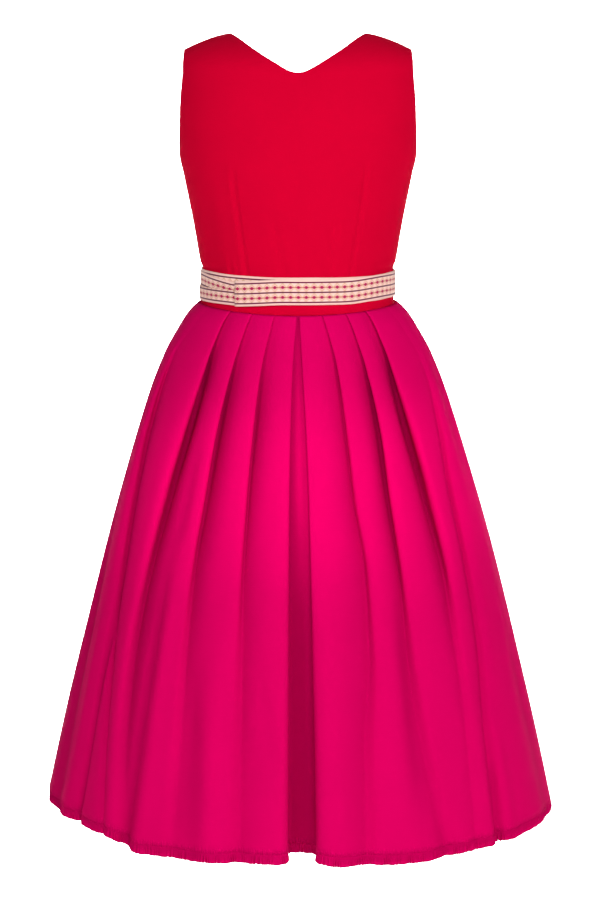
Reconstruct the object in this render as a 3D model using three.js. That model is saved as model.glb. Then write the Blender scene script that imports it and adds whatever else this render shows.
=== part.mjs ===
// Dirndl as worn and filled out, with no wearer: plain bodice, pleated skirt with a gathered
// hem ruffle, and a woven band wound round the waist. Millimetres, +Z up. The origin lies
// between the shoulder seams, just below their neck ends; -Y is the back, +X the right.
import * as THREE from 'three';

// ---- driving dimensions (mm) ----
const BODICE_CLOTH = 1.2;      // wall of the bodice cloth
const SKIRT_CLOTH = 1.1;       // wall of the skirt cloth
const RUFFLE_CLOTH = 1.0;      // wall of the ruffle cloth
const BAND_CLOTH = 1.0;        // wall of the woven band
const SEAM_GAP = 0.3;          // space left between two pieces at a seam
const SKIRT_SEAT = 0.8;        // top edge of the skirt's middle surface below the waist seam
const WAIST_Z = -352.5;        // waist seam at the centre back
const WAIST_HALF = 126;        // half width at the waist seam
const WAIST_RISE = 8;          // the seam climbs by this much to the sides
const UNDERARM_Z = -165;       // lowest point of the armhole
const ARMHOLE_WIDE_Z = -60;    // from here up the armhole keeps its full width
const BACK_ARMHOLE = 32;       // the back's edge behind the side line at that height
const FRONT_ARMHOLE = 42;      // the front's edge before the side line
const SHOULDER_HALF = 146;     // half width across the shoulder tips
const SHOULDER_TOP_Z = 2;      // neck end of the shoulder seam
const SHOULDER_DROP = 20.5;    // shoulder tip below the neck end of the seam
const NECK_HALF = 86;          // half width of the neck at the shoulder seam
const BACK_NECK_DEPTH = 47.5;  // depth of the V at the back
const FRONT_NECK_DEPTH = 138;  // depth of the V at the front
const BAND_WIDTH = 33;         // width of the woven band
const FOLDED_WIDTH = 19.5;     // its width where it is folded lengthwise at the left
const BAND_TOP_Z = -306;       // top edge of the outer turn at the centre back
const BAND_LEVEL_Z = -320;     // level of the bodice section that the band follows
const SKIRT_LEVEL_Z = -420;    // down to here the skirt's rows follow the slope of its seam
const HEM_SEAM_Z = -1018.5;    // seam between skirt and ruffle
const HEM_Z = -1031.5;         // lowest edge of the ruffle
const LEFT_LIFT = 12.5;        // the hem hangs higher by this much at the left
const LEFT_END_LIFT = 6;       // and by so much more at its left seam
const RIGHT_LIFT = 5;          // lift of the hem at the right
const SWAY = 2;                // the lower skirt hangs this far over to the right
const SWAY_FULL_Z = -800;      // height from which it does so in full
const BROAD_START_Z = -640;    // the lifts and broad forms grow from here down to the hem
const OPEN_WAVE = -12;         // the "over" of a fold that has lost all its strength
const RUFFLE_WAVES = 90;       // gathers in each of the two lengths of ruffle
const RUFFLE_SWING = 1.2;      // half height of a gather

// Body of the bodice: half width, depth behind and in front of the side line, by height.
const BODICE = [
  // z, half, back, front
  [-356, 124.8, 96.5, 97],
  [-347, 124.0, 94.5, 95],
  [-297.5, 124.0, 94.5, 95],
  [-292, 126.7, 95, 98.5],
  [-283, 128.6, 95, 102],
  [-256, 133.0, 95.5, 110],
  [-230, 137.6, 97, 119],
  [-204, 142.8, 99, 126],
  [-178, 148.0, 101, 129],
  [-152, 153.4, 102, 128],
  [-113, 155.4, 101, 118],
  [-80, 156.8, 97, 105],
  [-48, 155.6, 90, 90],
  [-20, 152.0, 82, 79],
  [0, 150.0, 75, 70],
];

// Skirt at the level of the fold crests, by height. The folds stand closed at the waist and
// relax downwards: over = how far a fold runs under its neighbour (below 0: open wave),
// deep = crest to valley, soft = rounding of the fold edges.
const SKIRT = [
  // z, half, depth, over, deep, soft
  [WAIST_Z, 129.5, 100.5, 16, 4.4, 1.2],
  [-358, 136.7, 103.5, 16, 4.7, 1.4],
  [-366, 144.5, 108, 16, 5.4, 1.8],
  [-385, 158.0, 117, 15, 8.5, 2.2],
  [-412, 174.5, 130, 13, 13.5, 2.6],
  [-450, 190.5, 144, 11, 18, 3.2],
  [-504, 208.3, 160, 8, 20, 3.8],
  [-575, 229.5, 178, 4, 18.5, 4.8],
  [-665, 255.0, 196, 1, 15, 6.5],
  [-770, 281.3, 214, -6, 12, 9],
  [-890, 309.2, 232, -13, 10, 12],
  [HEM_SEAM_Z, 337.2, 248.5, -20, 8.5, 16],
];

// Place of each fold edge as a share of the quarter from the centre to the side seam, for the
// left and the right quarter of the back; the front has them changed over.
const FOLD_SHARE = {
  left: [
    // z, box, 1st, 2nd, 3rd, 4th
    [WAIST_Z, 0.008, 0.165, 0.33, 0.505, 0.745],
    [-412, 0.024, 0.19, 0.35, 0.515, 0.825],
    [-504, 0.032, 0.203, 0.377, 0.556, 0.846],
    [-575, 0.034, 0.208, 0.386, 0.585, 0.815],
    [-665, 0.034, 0.21, 0.399, 0.604, 0.765],
    [-770, 0.033, 0.211, 0.405, 0.617, 0.737],
    [-890, 0.031, 0.209, 0.4, 0.6, 0.708],
    [HEM_SEAM_Z, 0.03, 0.21, 0.4, 0.56, 0.668],
  ],
  right: [
    [WAIST_Z, 0.008, 0.172, 0.345, 0.508, 0.745],
    [-412, 0.02, 0.205, 0.364, 0.519, 0.795],
    [-504, 0.034, 0.22, 0.381, 0.553, 0.76],
    [-575, 0.038, 0.227, 0.376, 0.572, 0.72],
    [-665, 0.039, 0.249, 0.38, 0.579, 0.703],
    [-770, 0.04, 0.25, 0.385, 0.574, 0.683],
    [-890, 0.043, 0.229, 0.408, 0.565, 0.65],
    [HEM_SEAM_Z, 0.044, 0.227, 0.455, 0.56, 0.64],
  ],
};

// How much of its depth each fold has on its way down; a weak fold is an open wave.
const FOLD_STRENGTH = {
  left: [
    // z, 1st, 2nd, 3rd, 4th
    [-385, 1, 1, 1, 0.15],
    [-425, 1, 1, 1, 1],
    [-575, 1, 1, 1, 1],
    [-800, 1, 0.8, 1, 1],
    [HEM_SEAM_Z, 1, 0.3, 1.3, 1.1],
  ],
  right: [
    [-400, 1, 1, 1, 0.15],
    [-470, 1, 1, 1, 0.8],
    [-575, 1, 1, 1, 0.8],
    [-800, 1, 1, 0.6, 0.8],
    [HEM_SEAM_Z, 0.8, 0.9, 0.3, 1],
  ],
};

// Centre inverted box pleat: it stays closed at the waist and opens into a recess.
const BOX = [
  // z, over, deep at the left, deep at the right, soft
  [WAIST_Z, 16, 4.4, 4.4, 1.2],
  [-385, 17, 8, 5, 2.0],
  [-450, 17, 13, 6, 2.6],
  [-575, 15, 20, 9, 3.4],
  [-665, 13, 28, 16, 4.0],
  [-770, 10, 38, 26, 4.5],
  [HEM_SEAM_Z, 7, 50, 42, 5.0],
];

// Broad forms of the skirt's back that grow towards the hem: place and half width as a share
// of the quarter (left of the middle below 0) and height at the hem.
const BROAD_FORMS = [
  { place: -0.77, width: 0.13, height: -15 },
  { place: -0.28, width: 0.05, height: 6 },
  { place: 0.1, width: 0.07, height: 9 },
  { place: 0.37, width: 0.07, height: 8 },
];

// Neck edge: half width by height, back and front.
const BACK_NECK = [
  [-47.5, 0], [-46.2, 7], [-42.8, 13], [-37.7, 22], [-18.5, 55.5], [-4, 78], [0, NECK_HALF],
];
const FRONT_NECK = [
  [-138, 0], [-135, 16], [-127, 30], [-110, 45], [-80, 60], [-45, 73], [-15, 82], [0, NECK_HALF],
];

// Turns of the woven band. Heights are those of the top edge; lift is the distance of the
// middle of the band's wall from the bodice's outer face. Angles run from the centre back
// (0) by the garment's right side (90) and the front (180) to the left side (270).
const INNER_TURN = [
  // angle, top, lift, width
  [0, BAND_TOP_Z + 2, 0.8, BAND_WIDTH],
  [30, BAND_TOP_Z + 1.5, 0.8, BAND_WIDTH],
  [70, BAND_TOP_Z + 3, 0.8, BAND_WIDTH],
  [180, BAND_TOP_Z + 3, 0.8, BAND_WIDTH],
  [270, BAND_TOP_Z + 6.5, 0.8, BAND_WIDTH],
  [310, BAND_TOP_Z + 4, 0.8, BAND_WIDTH],
  [360, BAND_TOP_Z + 2, 0.8, BAND_WIDTH],
];
const MIDDLE_TURN = [
  [207, BAND_TOP_Z + 1.5, 2.1, BAND_WIDTH],
  [262, BAND_TOP_Z + 3.5, 2.1, BAND_WIDTH],
  [280, BAND_TOP_Z + 2.5, 2.1, BAND_WIDTH],
  [305, BAND_TOP_Z - 1, 2.1, BAND_WIDTH - 1.5],
  [321, BAND_TOP_Z - 5, 2.1, BAND_WIDTH - 4.5],
  [335, BAND_TOP_Z - 7.5, 2.1, BAND_WIDTH - 6],
];
const OUTER_TURN = [
  [-37, BAND_TOP_Z - 3.5, 4.7, BAND_WIDTH],
  [-20, BAND_TOP_Z - 2, 4.7, BAND_WIDTH],
  [-4, BAND_TOP_Z - 0.5, 3, BAND_WIDTH],
  [23, BAND_TOP_Z, 2.1, BAND_WIDTH],
  [46, BAND_TOP_Z + 1.5, 2.1, BAND_WIDTH],
  [65, BAND_TOP_Z + 2.5, 2.1, BAND_WIDTH],
  [171, BAND_TOP_Z + 2, 2.1, BAND_WIDTH],
  [198, BAND_TOP_Z, 3.4, BAND_WIDTH],
  [225, BAND_TOP_Z - 8, 3.4, BAND_WIDTH - 6],
  [265, BAND_TOP_Z - 16, 3.4, FOLDED_WIDTH],
  [298, BAND_TOP_Z - 15, 3.4, FOLDED_WIDTH],
  [329, BAND_TOP_Z - 15.5, 3.4, FOLDED_WIDTH],
];

// ---- small helpers ----
const lerp = (a, b, t) => a + (b - a) * t;
const clamp = (v, lo, hi) => Math.min(hi, Math.max(lo, v));
const smooth = (from, to, at) => {
  const t = clamp((at - from) / (to - from), 0, 1);
  return t * t * (3 - 2 * t);
};

// Reads every column of a table at a place of its first column, along smooth curves.
function readTable(rows, at) {
  const up = rows[rows.length - 1][0] > rows[0][0] ? 1 : -1;
  let k = 0;
  while (k < rows.length - 2 && (at - rows[k + 1][0]) * up > 0) k += 1;
  const t = clamp((at - rows[k][0]) / (rows[k + 1][0] - rows[k][0]), 0, 1);
  const slope = (i, c) => {
    if (i === 0 || i === rows.length - 1) return null;
    const s0 = (rows[i][c] - rows[i - 1][c]) / (rows[i][0] - rows[i - 1][0]);
    const s1 = (rows[i + 1][c] - rows[i][c]) / (rows[i + 1][0] - rows[i][0]);
    return s0 * s1 <= 0 ? 0 : (2 * s0 * s1) / (s0 + s1);
  };
  return rows[k].slice(1).map((v0, j) => {
    const c = j + 1;
    const v1 = rows[k + 1][c];
    const h = rows[k + 1][0] - rows[k][0];
    const straight = (v1 - v0) / h;
    const m0 = (slope(k, c) ?? straight) * h;
    const m1 = (slope(k + 1, c) ?? straight) * h;
    const t2 = t * t;
    const t3 = t2 * t;
    return (2 * t3 - 3 * t2 + 1) * v0 + (t3 - 2 * t2 + t) * m0
      + (3 * t2 - 2 * t3) * v1 + (t3 - t2) * m1;
  });
}

// One sheet of cloth: points on its middle surface and triangles over them, thickened to
// half its wall on each side and closed round its free edges.
class Sheet {
  constructor() {
    this.points = [];
    this.faces = [];
  }

  // Adds a grid of points (rows of equal length) and its triangles; flip turns it over.
  grid(rows, flip = false) {
    const ids = rows.map((row) => row.map((p) => this.point(p)));
    for (let j = 0; j + 1 < rows.length; j += 1) {
      for (let i = 0; i + 1 < rows[j].length; i += 1) {
        const quad = [ids[j][i], ids[j][i + 1], ids[j + 1][i + 1], ids[j + 1][i]];
        if (flip) quad.reverse();
        this.face(quad[0], quad[1], quad[2]);
        this.face(quad[0], quad[2], quad[3]);
      }
    }
    return this;
  }

  // Points that fall on one another are one point, so that grids join.
  point(p) {
    const known = this.points.findIndex((q) => q.distanceToSquared(p) < 1e-6);
    if (known >= 0) return known;
    this.points.push(p.clone());
    return this.points.length - 1;
  }

  face(a, b, c) {
    if (a !== b && b !== c && c !== a) this.faces.push([a, b, c]);
  }

  // Corner-weighted normals, lengthened at sharp bends so that the wall keeps its thickness.
  normals() {
    const sums = this.points.map(() => new THREE.Vector3());
    const around = this.points.map(() => []);
    this.faces.forEach((f) => {
      const [a, b, c] = f.map((i) => this.points[i]);
      const n = b.clone().sub(a).cross(c.clone().sub(a)).normalize();
      f.forEach((i, k) => {
        const p = this.points[i];
        const u = this.points[f[(k + 1) % 3]].clone().sub(p);
        const v = this.points[f[(k + 2) % 3]].clone().sub(p);
        sums[i].addScaledVector(n, u.angleTo(v));
        around[i].push(n);
      });
    });
    return sums.map((s, i) => {
      s.normalize();
      const least = Math.min(...around[i].map((n) => n.dot(s)));
      return s.multiplyScalar(1 / clamp(least, 0.72, 1));
    });
  }

  mesh(name, wall, look) {
    const n = this.normals();
    const count = this.points.length;
    const positions = [];
    [0.5, -0.5].forEach((side) => this.points.forEach((p, i) => {
      positions.push(...p.clone().addScaledVector(n[i], side * wall).toArray());
    }));
    const index = [];
    const edges = new Map();
    this.faces.forEach(([a, b, c]) => {
      index.push(a, b, c, a + count, c + count, b + count);
      [[a, b], [b, c], [c, a]].forEach(([p, q]) => {
        if (!edges.delete(`${q},${p}`)) edges.set(`${p},${q}`, [p, q]);
      });
    });
    edges.forEach(([p, q]) => index.push(q, p, q + count, p, p + count, q + count));
    const geometry = new THREE.BufferGeometry();
    geometry.setAttribute('position', new THREE.Float32BufferAttribute(positions, 3));
    geometry.setIndex(index);
    const mesh = new THREE.Mesh(geometry, look);
    mesh.name = name;
    return mesh;
  }
}

const cloth = (color) => new THREE.MeshStandardMaterial({ color, roughness: 0.85, metalness: 0 });
const bodiceCloth = cloth(0xd5002c);
const skirtCloth = cloth(0xe80062);
const bandCloth = cloth(0xefb8b4);

// ---- bodice ----
// A rounded, slightly squared section: x and y for an angle from the centre of that side.
const ROUND = 2.15;
const ACROSS = 10;
const STEP = 90 / ACROSS;
function sectionPoint(half, depth, angle) {
  const s = Math.sin(angle);
  const c = Math.cos(angle);
  return [
    half * Math.sign(s) * Math.abs(s) ** (2 / ROUND),
    depth * Math.sign(c) * Math.abs(c) ** (2 / ROUND),
  ];
}

// Height of the waist seam at a place across the garment.
const waistAt = (x) => WAIST_Z + WAIST_RISE * clamp(x / WAIST_HALF, -1, 1) ** 2;

// One half of a panel: the closed body up to the underarm, the part beside the armhole up
// to the point of the V, and the shoulder piece above that point.
function halfPanel(sheet, side, mirror, { neckDepth, neckEdge, armhole }) {
  const flip = side * mirror > 0;
  const place = (x, y, z) => new THREE.Vector3(x * mirror, y, z);
  const seamAngle = SEAM_GAP / 2 / WAIST_HALF;
  const bodyRow = (z) => Array.from({ length: ACROSS + 1 }, (_, i) => {
    const [half, back, front] = readTable(BODICE, z);
    const depth = side < 0 ? back : front;
    const angle = (Math.PI / 2 - seamAngle) * (i / ACROSS);
    const [x, y] = sectionPoint(half, depth, angle);
    return place(x, side * Math.max(y, SEAM_GAP / 2), z);
  });
  const rowHeights = [-343, -297.5, -292, -280, -245, -205, UNDERARM_Z];
  const seam = Array.from({ length: ACROSS + 1 }, (_, i) => {
    const angle = (Math.PI / 2 - seamAngle) * (i / ACROSS);
    const [half, back, front] = readTable(BODICE, WAIST_Z);
    const [x, y] = sectionPoint(half, side < 0 ? back : front, angle);
    return place(x, side * Math.max(y, SEAM_GAP / 2), waistAt(x) + SEAM_GAP / 2);
  });
  const body = rowHeights.map(bodyRow);
  sheet.grid([seam, ...body], flip);

  // Beside the armhole the panel's outer edge leaves the side line for the shoulder tip.
  const edgeInset = (z) => {
    const rise = clamp((z - UNDERARM_Z) / (ARMHOLE_WIDE_Z - UNDERARM_Z), 0, 1);
    return armhole * Math.sin((rise * Math.PI) / 2) ** 0.8;
  };
  const sideRow = (z) => Array.from({ length: ACROSS + 1 }, (_, i) => {
    const [half, back, front] = readTable(BODICE, z);
    const depth = side < 0 ? back : front;
    const stop = Math.acos(clamp((edgeInset(z) + SEAM_GAP / 2) / depth, 0, 1) ** (ROUND / 2));
    const [x, y] = sectionPoint(half, depth, stop * (i / ACROSS));
    return place(x, side * y, z);
  });
  const steps = side < 0 ? 4 : 1;
  const beside = [body[body.length - 1]];
  for (let k = 1; k <= steps; k += 1) {
    beside.push(sideRow(lerp(UNDERARM_Z, -neckDepth, k / steps)));
  }
  sheet.grid(beside, flip);

  // Shoulder piece: from the level of the V's point over to the shoulder seam.
  const base = beside[beside.length - 1];
  const rise = side < 0 ? 6 : 8;
  const rows = [base];
  for (let k = 1; k <= rise; k += 1) {
    const q = k / rise;
    const up = Math.sin((q * Math.PI) / 2);
    const turn = Math.sqrt(1 - Math.min(1, up) ** 2.6);
    rows.push(base.map((p, i) => {
      const s = i / ACROSS;
      const zTop = SHOULDER_TOP_Z - SHOULDER_DROP * s ** 2.2;
      const z = lerp(-neckDepth, zTop, up);
      const inner = readTable(neckEdge, lerp(-neckDepth, 0, up))[0];
      const outer = lerp(Math.abs(base[ACROSS].x), SHOULDER_HALF, up ** 2);
      const x = lerp(inner, outer, lerp(Math.abs(p.x) / Math.abs(base[ACROSS].x), s, up));
      const [, back, front] = readTable(BODICE, z);
      const depth = side < 0 ? back : front;
      const reach = 1 - (edgeInset(z) / depth) ** ROUND;
      const flat = depth * (1 - (x / outer) ** ROUND * reach) ** (1 / ROUND);
      return place(x, side * (SEAM_GAP + (flat - SEAM_GAP) * turn), z);
    }));
  }
  sheet.grid(rows, flip);
}

function bodicePanel(name, side, cut) {
  const sheet = new Sheet();
  [1, -1].forEach((mirror) => halfPanel(sheet, side, mirror, cut));
  return sheet.mesh(name, BODICE_CLOTH, bodiceCloth);
}

// ---- skirt ----
// Length along a quarter of an ellipse, with points at even lengths from the centre.
function quarter(half, depth) {
  const steps = 240;
  const run = [0];
  for (let k = 1; k <= steps; k += 1) {
    const a0 = ((k - 1) / steps) * (Math.PI / 2);
    const a1 = (k / steps) * (Math.PI / 2);
    const dx = half * (Math.sin(a1) - Math.sin(a0));
    const dy = depth * (Math.cos(a1) - Math.cos(a0));
    run.push(run[k - 1] + Math.hypot(dx, dy));
  }
  const total = run[steps];
  const angleAt = (length) => {
    let k = 1;
    while (k < steps && run[k] < length) k += 1;
    return ((k - 1 + (length - run[k - 1]) / (run[k] - run[k - 1])) / steps) * (Math.PI / 2);
  };
  return { total, angleAt };
}

// Profile of the folds over one quarter: pairs of (length from the centre, depth below the
// crests). Every fold gives the same number of points at every height.
function foldProfile(z, total, hand) {
  const [, , over, deep, soft] = readTable(SKIRT, z);
  const shares = readTable(FOLD_SHARE[hand], z);
  const strength = readTable(FOLD_STRENGTH[hand], z);
  const [boxOver, deepLeft, deepRight, boxSoft] = readTable(BOX, z);
  const boxMiddle = (deepLeft + deepRight) / 2;
  const boxDeep = hand === 'left' ? deepLeft : deepRight;
  const folds = shares.map((share, k) => {
    if (k === 0) return { edge: share * total, over: boxOver, deep: boxDeep, soft: boxSoft };
    const keep = strength[k - 1];
    const under = Math.min(over, lerp(OPEN_WAVE, over, Math.min(keep, 1)));
    return { edge: share * total, over: under, deep: deep * keep, soft };
  });
  const floor = [0.4 * (folds[0].edge + boxOver), lerp(boxMiddle, boxDeep, 0.4)];
  const profile = [[0, boxMiddle], floor];
  folds.forEach((fold, k) => {
    const open = clamp(-fold.over / 30, 0, 1);
    const lean = lerp(0, 0.5, open) * fold.soft;
    const low = [fold.edge + fold.over, fold.deep];
    const lowBack = [low[0] + lean, fold.deep * lerp(0.5, 1, open)];
    const high = [fold.edge, 0];
    const highBack = [high[0] - lean, fold.deep * lerp(0.5, 0, open)];
    const toward = (p, q, by) => {
      const length = Math.hypot(q[0] - p[0], q[1] - p[1]);
      const t = Math.min(by / length, 0.4);
      return [lerp(p[0], q[0], t), lerp(p[1], q[1], t)];
    };
    const before = profile[profile.length - 1];
    profile.push(toward(low, before, fold.soft));
    profile.push([lerp(low[0], lowBack[0], 0.5), lerp(low[1], lowBack[1], 0.5)]);
    profile.push(toward(lowBack, highBack, fold.soft));
    profile.push(toward(highBack, lowBack, fold.soft));
    profile.push([lerp(high[0], highBack[0], 0.5), lerp(high[1], highBack[1], 0.5)]);

    // The panel swells beyond its edge, then drops steeply under the edge that follows.
    const next = folds[k + 1] ?? { edge: total, over: 0, deep: 0 };
    const reach = next.edge + Math.min(next.over, 0);
    const closed = clamp(next.over / 6, 0, 1);
    const bulge = 0.05 * fold.soft;
    const swell = [lerp(fold.edge, reach, 0.34), 0.05 * next.deep - bulge];
    const drop = lerp(lerp(fold.edge, reach, 0.9), reach - 1.5, closed);
    profile.push(toward(high, swell, fold.soft));
    profile.push(swell);
    profile.push([lerp(fold.edge, reach, 0.68), 0.27 * next.deep - bulge]);
    profile.push([drop, lerp(0.66, 0.94, closed) * next.deep]);
  });
  profile.push([total, 0]);
  return profile;
}

// Section of half a skirt (side -1 back, 1 front) from its left seam round to its right.
function skirtSection(z, side) {
  const [half, depth] = readTable(SKIRT, z);
  const { total, angleAt } = quarter(half, depth);
  const low = smooth(BROAD_START_Z, HEM_SEAM_Z, z);
  const sway = SWAY * smooth(SKIRT_LEVEL_Z, SWAY_FULL_Z, z);
  const high = clamp((z - SKIRT_LEVEL_Z) / (WAIST_Z - SKIRT_LEVEL_Z), 0, 1);
  const put = ([length, folded], mirror) => {
    const share = (mirror * length) / total;
    const broad = (sum, form) => (
      sum + form.height * Math.exp(-(((share - form.place) / form.width) ** 2)));
    const raised = side < 0 ? low * BROAD_FORMS.reduce(broad, 0) * smooth(-1, -0.93, share) : 0;
    const below = folded - raised;
    const angle = angleAt(clamp(length, 0, total));
    const normal = new THREE.Vector2(Math.sin(angle) / half, Math.cos(angle) / depth).normalize();
    const x = mirror * (half * Math.sin(angle) - normal.x * below);
    const y = depth * Math.cos(angle) - normal.y * below;
    const away = length > total - 0.01 ? SEAM_GAP * 0.8 : 0;
    const hung = LEFT_LIFT * smooth(-0.46, -0.6, share) + RIGHT_LIFT * smooth(0.52, 0.8, share)
      + LEFT_END_LIFT * smooth(-0.87, -1, share);
    const lift = high * (waistAt(x) - WAIST_Z) + low * hung;
    return new THREE.Vector3(x + sway, side * (y + away), z + lift);
  };
  const hands = side < 0 ? ['left', 'right'] : ['right', 'left'];
  const left = foldProfile(z, total, hands[0]).slice(1).map((p) => put(p, -1)).reverse();
  const right = foldProfile(z, total, hands[1]).map((p) => put(p, 1));
  return [...left, ...right];
}

function skirtPanel(name, side) {
  const rows = SKIRT.map(([z]) => skirtSection(z, side));
  rows[0].forEach((p) => p.setZ(p.z - SKIRT_SEAT));
  const sheet = new Sheet().grid(rows, side < 0);
  return sheet.mesh(name, SKIRT_CLOTH, skirtCloth);
}

// ---- hem ruffle ----
// Follows the skirt's lowest section; gathers swing it in and out, more at its free edge.
function ruffle(name, side) {
  const course = skirtSection(HEM_SEAM_Z, side);
  const run = [0];
  for (let i = 1; i < course.length; i += 1) {
    run.push(run[i - 1] + course[i].distanceTo(course[i - 1]));
  }
  const at = (length) => {
    let i = 1;
    while (i < run.length - 1 && run[i] < length) i += 1;
    const t = (length - run[i - 1]) / (run[i] - run[i - 1]);
    const along = course[i].clone().sub(course[i - 1]).normalize();
    const out = new THREE.Vector3(along.y, -along.x, 0).normalize().multiplyScalar(-side);
    return { p: course[i - 1].clone().lerp(course[i], t), out };
  };
  const count = RUFFLE_WAVES * 2;
  const row = (drop, swing, flare) => Array.from({ length: count + 1 }, (_, k) => {
    const { p, out } = at((k / count) * run[run.length - 1]);
    const ends = k === 0 || k === count;
    const wave = ends ? 0 : (k % 2 ? 1 : -1) * swing;
    const q = p.addScaledVector(out, wave + (ends ? 0 : flare));
    return new THREE.Vector3(q.x, ends ? side * (SEAM_GAP + 0.1) : q.y, p.z - drop);
  });
  const rows = [
    row(SEAM_GAP * 2, RUFFLE_SWING * 0.35, 0),
    row(HEM_SEAM_Z - HEM_Z, RUFFLE_SWING, 1.5),
  ];
  return new Sheet().grid(rows, side < 0).mesh(name, RUFFLE_CLOTH, skirtCloth);
}

// ---- woven band ----
// A stretch of the band laid on the bodice between two angles, following a table of turns.
// Its corners stand over the corners of the bodice's section, so that the layers lie even.
function band(name, turns, closed) {
  const first = turns[0][0];
  const last = turns[turns.length - 1][0];
  const stops = [first];
  for (let k = Math.ceil(first / STEP + 0.01); k * STEP < last - 0.01; k += 1) stops.push(k * STEP);
  stops.push(last);
  const section = (degrees, z, lift) => {
    const angle = (degrees * Math.PI) / 180;
    const s = Math.sin(angle);
    const c = Math.cos(angle);
    const [half, back, front] = readTable(BODICE, BAND_LEVEL_Z);
    const depth = c > 0 ? back : front;
    const [x, y] = sectionPoint(half + lift, depth + lift, angle);
    return new THREE.Vector3(x, -y, z);
  };
  const rows = [0, 0.5, 1].map((t) => stops.map((degrees) => {
    const [top, lift, width] = readTable(turns, degrees);
    return section(degrees, top - t * width, BODICE_CLOTH / 2 + lift);
  }));
  if (closed) rows.forEach((row) => row.splice(row.length - 1, 1, row[0].clone()));
  return new Sheet().grid(rows, true).mesh(name, BAND_CLOTH, bandCloth);
}

// ---- the garment ----
const BACK_CUT = { neckDepth: BACK_NECK_DEPTH, neckEdge: BACK_NECK, armhole: BACK_ARMHOLE };
const FRONT_CUT = { neckDepth: FRONT_NECK_DEPTH, neckEdge: FRONT_NECK, armhole: FRONT_ARMHOLE };
const dirndl = new THREE.Group();
dirndl.name = 'dirndl';
dirndl.add(
  bodicePanel('bodice_back', -1, BACK_CUT),
  bodicePanel('bodice_front', 1, FRONT_CUT),
  skirtPanel('skirt_back', -1),
  skirtPanel('skirt_front', 1),
  ruffle('hem_ruffle_back', -1),
  ruffle('hem_ruffle_front', 1),
  band('belt_inner', INNER_TURN, true),
  band('belt_middle', MIDDLE_TURN, false),
  band('belt_outer', OUTER_TURN, false),
);

export default dirndl;
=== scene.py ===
import math

import bmesh
import bpy
import numpy as np
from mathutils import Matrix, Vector


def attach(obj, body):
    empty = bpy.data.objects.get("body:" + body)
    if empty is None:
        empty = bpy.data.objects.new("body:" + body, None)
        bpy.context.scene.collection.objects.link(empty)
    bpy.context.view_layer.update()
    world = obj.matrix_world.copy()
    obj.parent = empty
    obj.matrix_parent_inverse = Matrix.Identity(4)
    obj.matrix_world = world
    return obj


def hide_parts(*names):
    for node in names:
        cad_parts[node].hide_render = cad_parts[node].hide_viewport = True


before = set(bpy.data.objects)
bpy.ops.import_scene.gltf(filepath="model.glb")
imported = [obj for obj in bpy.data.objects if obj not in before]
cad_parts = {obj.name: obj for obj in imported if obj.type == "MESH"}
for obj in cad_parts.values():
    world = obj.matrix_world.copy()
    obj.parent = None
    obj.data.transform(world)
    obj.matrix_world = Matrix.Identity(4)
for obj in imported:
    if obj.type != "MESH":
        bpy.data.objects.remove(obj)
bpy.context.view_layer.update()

bl_info = {
    "name": "Dirndl",
    "version": (1, 0, 0),
    "blender": (4, 5, 0),
    "location": "View3D > Sidebar > Dirndl",
    "description": "Makes the cloth pieces of a dirndl dress and a pale studio round it",
    "category": "Add Mesh",
}

MM = 0.001

# Sizes in millimetres; +Z up, -Y the back of the garment, origin between the shoulders.
WAIST_Z = -352.5
WAIST_HALF = 126.0
# The waist seam lies higher at the sides; the bodice's rows follow it up to the strip's top.
WAIST_RISE = 8.0
STRIP_TOP_Z = -338.0
UNDERARM_Z = -165.0
ARMHOLE_TOP_Z = -60.0
BACK_ARMHOLE = 32.0
FRONT_ARMHOLE = 42.0
SHOULDER_HALF = 146.0
SHOULDER_TOP = 2.0
SHOULDER_DROP = 20.5
BACK_NECK_DEPTH = 46.0
FRONT_NECK_DEPTH = 138.0
HEM_SEAM_Z = -1018.0
HEM_Z = -1031.5
# Gap below the waist seam, where the skirt begins.
WAIST_GAP = 0.4
# How far the hem is swung to the right, and where the broad forms begin.
SWAY = 2.0
BROAD_START_Z = -640.0
# Exponent of the bodice's and belt's section; 2 is an ellipse.
ROUND = 2.15
# Half of the gap at each side seam.
HALF_SEAM = 0.01

BODICE = (
    # z, half, back, front
    (-356, 128.5, 99.6, 100.0),
    (-347, 124.8, 95.6, 96.0),
    (-297.5, 124.2, 94.7, 95.2),
    (-292, 126.8, 95.2, 98.8),
    (-283, 128.6, 95, 102),
    (-256, 133.0, 95.5, 110),
    (-230, 137.6, 97, 119),
    (-204, 142.8, 99, 126),
    (-178, 148.0, 101, 129),
    (-152, 153.4, 102, 128),
    (-113, 155.4, 101, 118),
    (-80, 156.8, 97, 105),
    (-48, 155.6, 90, 90),
    (-20, 152.0, 82, 79),
    (0, 150.0, 75, 70),
)
BACK_NECK = (
    # z, half width of the neck edge
    (-46, 0), (-44.8, 8), (-41.8, 15), (-37, 24), (-18.5, 55.5), (-4, 78), (0, 86),
)
FRONT_NECK = (
    (-138, 0), (-135, 16), (-127, 30), (-110, 45), (-80, 60), (-45, 73), (-15, 82), (0, 86),
)
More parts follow.
